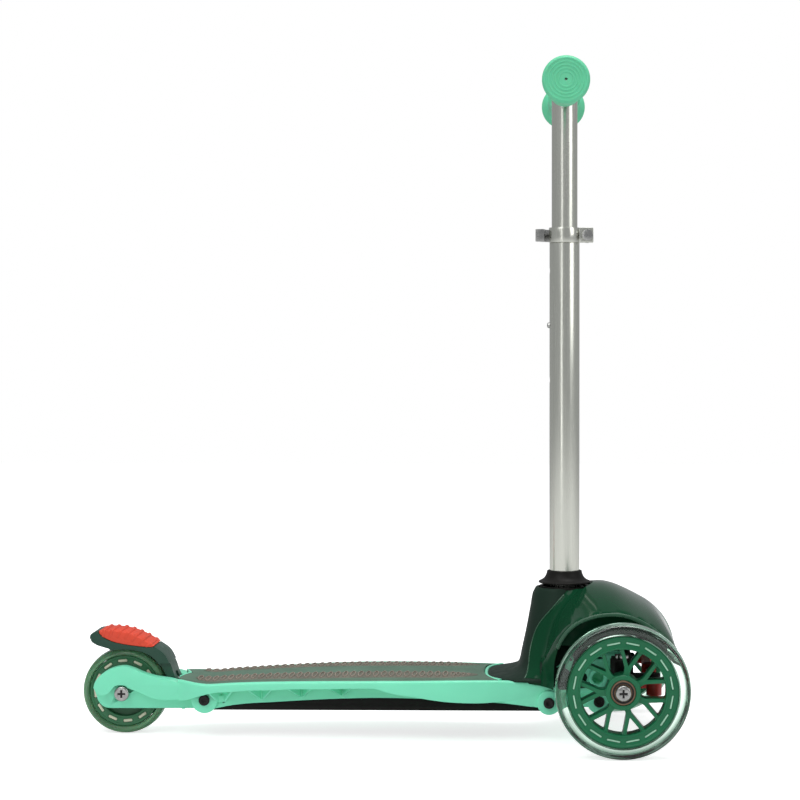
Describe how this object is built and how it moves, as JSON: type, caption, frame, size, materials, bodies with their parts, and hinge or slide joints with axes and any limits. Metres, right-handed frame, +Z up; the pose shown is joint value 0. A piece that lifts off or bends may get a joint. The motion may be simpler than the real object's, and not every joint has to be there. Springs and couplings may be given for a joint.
{
  "type": "three wheel kids scooter",
  "caption": "Lean-to-steer kids scooter with clear front tyres, soft deck, rear foot brake and a height-adjustable T handlebar.",
  "frame": {"origin": "on the ground under the middle of the scooter's bounding box", "axes": "+X forward along the deck, +Y to the rider's left along the handlebar, +Z up"},
  "size_m": [0.5606, 0.2752, 0.6182],
  "materials": {
    "mint_plastic": "satin",
    "dark_green_plastic": "gloss",
    "wheel_green": "satin",
    "clear_tyre": "clear gloss",
    "green_tyre": "translucent gloss",
    "mat_rubber": "fine texture",
    "black_plastic": "matte",
    "red_plastic": "satin",
    "orange_rubber": "satin",
    "grip_rubber": "soft matte",
    "tube_aluminium": "satin anodised",
    "bright_zinc": "bright",
    "plain_steel": "machined",
    "black_steel": "black coated",
    "black_rubber": "matte"
  },
  "bodies": {
    "deck": {"deck_frame": "mint_plastic", "deck_mat": "mat_rubber", "underdeck_beam": "black_plastic", "beam_screw_left": "black_steel", "beam_screw_right": "black_steel", "front_carrier": "mint_plastic", "carrier_rear_screw_left": "black_steel", "carrier_rear_screw_right": "black_steel", "carrier_front_screw_left": "black_steel", "carrier_front_screw_right": "black_steel", "axle_beam": "black_plastic", "axle_beam_bolt_left": "black_steel", "axle_beam_bolt_right": "black_steel", "kingpin_left": "bright_zinc", "kingpin_right": "bright_zinc", "rocker_pin": "bright_zinc", "return_rubber_left": "black_rubber", "return_rubber_right": "black_rubber", "cowl": "dark_green_plastic", "brake_pivot_pin": "bright_zinc", "brake_return_spring": "plain_steel", "rear_axle_bolt": "bright_zinc", "rear_axle_nut": "bright_zinc", "rear_wheel_bearing_spacer": "plain_steel"},
    "tbar": {"steering_stem": "black_steel", "outer_steering_tube": "tube_aluminium", "stem_collar": "black_plastic", "clamp_band": "tube_aluminium", "clamp_bolt": "bright_zinc", "clamp_cam_pin": "bright_zinc"},
    "handlebar": {"inner_height_tube": "tube_aluminium", "crossbar": "tube_aluminium", "left_grip": "grip_rubber", "right_grip": "grip_rubber", "snap_spring": "plain_steel"},
    "snap": {"snap_button": "bright_zinc"},
    "clamp": {"clamp_lever": "bright_zinc"},
    "rocker": {"steering_rocker": "red_plastic"},
    "track_rod": {"tie_rod": "red_plastic"},
    "knuckle_l": {"knuckle_left": "black_plastic", "front_left_axle_bolt": "bright_zinc", "front_left_wheel_bearing_spacer": "plain_steel"},
    "knuckle_r": {"knuckle_right": "black_plastic", "front_right_axle_bolt": "bright_zinc", "front_right_wheel_bearing_spacer": "plain_steel"},
    "wheel_fl": {"front_left_wheel_tyre": "clear_tyre", "front_left_wheel_core": "wheel_green", "front_left_wheel_bearing_left": "plain_steel", "front_left_wheel_bearing_right": "plain_steel"},
    "wheel_fr": {"front_right_wheel_tyre": "clear_tyre", "front_right_wheel_core": "wheel_green", "front_right_wheel_bearing_left": "plain_steel", "front_right_wheel_bearing_right": "plain_steel"},
    "wheel_r": {"rear_wheel_tyre": "green_tyre", "rear_wheel_core": "wheel_green", "rear_wheel_bearing_left": "plain_steel", "rear_wheel_bearing_right": "plain_steel"},
    "brake": {"brake_fender": "dark_green_plastic", "brake_pad": "orange_rubber"}
  },
  "joints": [
    {"name": "tbar_lean", "type": "hinge", "parent": "deck", "child": "tbar", "pos_m": [0.1702, 0, 0.1], "axis": [1, 0, 0], "range_deg": [-7, 7], "stiffness_Nm_per_rad": 60, "deforming": ["return_rubber_left", "return_rubber_right"]},
    {"name": "tbar_slide", "type": "slide", "parent": "tbar", "child": "handlebar", "axis": [0, 0, 1], "range_m": [-0.051, 0.051], "deforming": ["snap_button"]},
    {"name": "snap_press", "type": "slide", "parent": "handlebar", "child": "snap", "axis": [1, 0, 0], "range_m": [0, 0.003], "stiffness_N_per_m": 600, "deforming": ["snap_spring"]},
    {"name": "clamp_open", "type": "hinge", "parent": "tbar", "child": "clamp", "pos_m": [0.1915, 0.01, 0.4656], "axis": [0, 0, -1], "range_deg": [0, 150]},
    {"name": "rocker_turn", "type": "hinge", "parent": "deck", "child": "rocker", "pos_m": [0.213, 0, 0.0466], "axis": [0, 0, 1], "range_deg": [-8.7, 8.7]},
    {"name": "tie_rod_slide", "type": "slide", "parent": "deck", "child": "track_rod", "axis": [0, 1, 0], "range_m": [-0.00545, 0.00545]},
    {"name": "steer_left", "type": "hinge", "parent": "deck", "child": "knuckle_l", "pos_m": [0.2203, 0.094, 0.06], "axis": [0, 0, 1], "range_deg": [-10.95, 10.95]},
    {"name": "steer_right", "type": "hinge", "parent": "deck", "child": "knuckle_r", "pos_m": [0.2203, -0.094, 0.06], "axis": [0, 0, 1], "range_deg": [-10.95, 10.95]},
    {"name": "roll_front_left", "type": "hinge", "parent": "knuckle_l", "child": "wheel_fl", "pos_m": [0.2203, 0.121, 0.06], "axis": [0, 1, 0], "continuous": true},
    {"name": "roll_front_right", "type": "hinge", "parent": "knuckle_r", "child": "wheel_fr", "pos_m": [0.2203, -0.121, 0.06], "axis": [0, 1, 0], "continuous": true},
    {"name": "roll_rear", "type": "hinge", "parent": "deck", "child": "wheel_r", "pos_m": [-0.2403, 0, 0.04], "axis": [0, 1, 0], "continuous": true},
    {"name": "brake_press", "type": "hinge", "parent": "deck", "child": "brake", "pos_m": [-0.1935, 0, 0.0475], "axis": [0, -1, 0], "range_deg": [0, 2.7], "stiffness_Nm_per_rad": 8, "springref_deg": -2.86, "deforming": ["brake_return_spring"]}
  ],
  "couplings": [
    {"joint": "rocker_turn", "follows": "tbar_lean", "ratio": -1.237},
    {"joint": "tie_rod_slide", "follows": "tbar_lean", "m_per_rad": -0.0444},
    {"joint": "steer_left", "follows": "tbar_lean", "ratio": -1.557},
    {"joint": "steer_right", "follows": "tbar_lean", "ratio": -1.557}
  ]
}
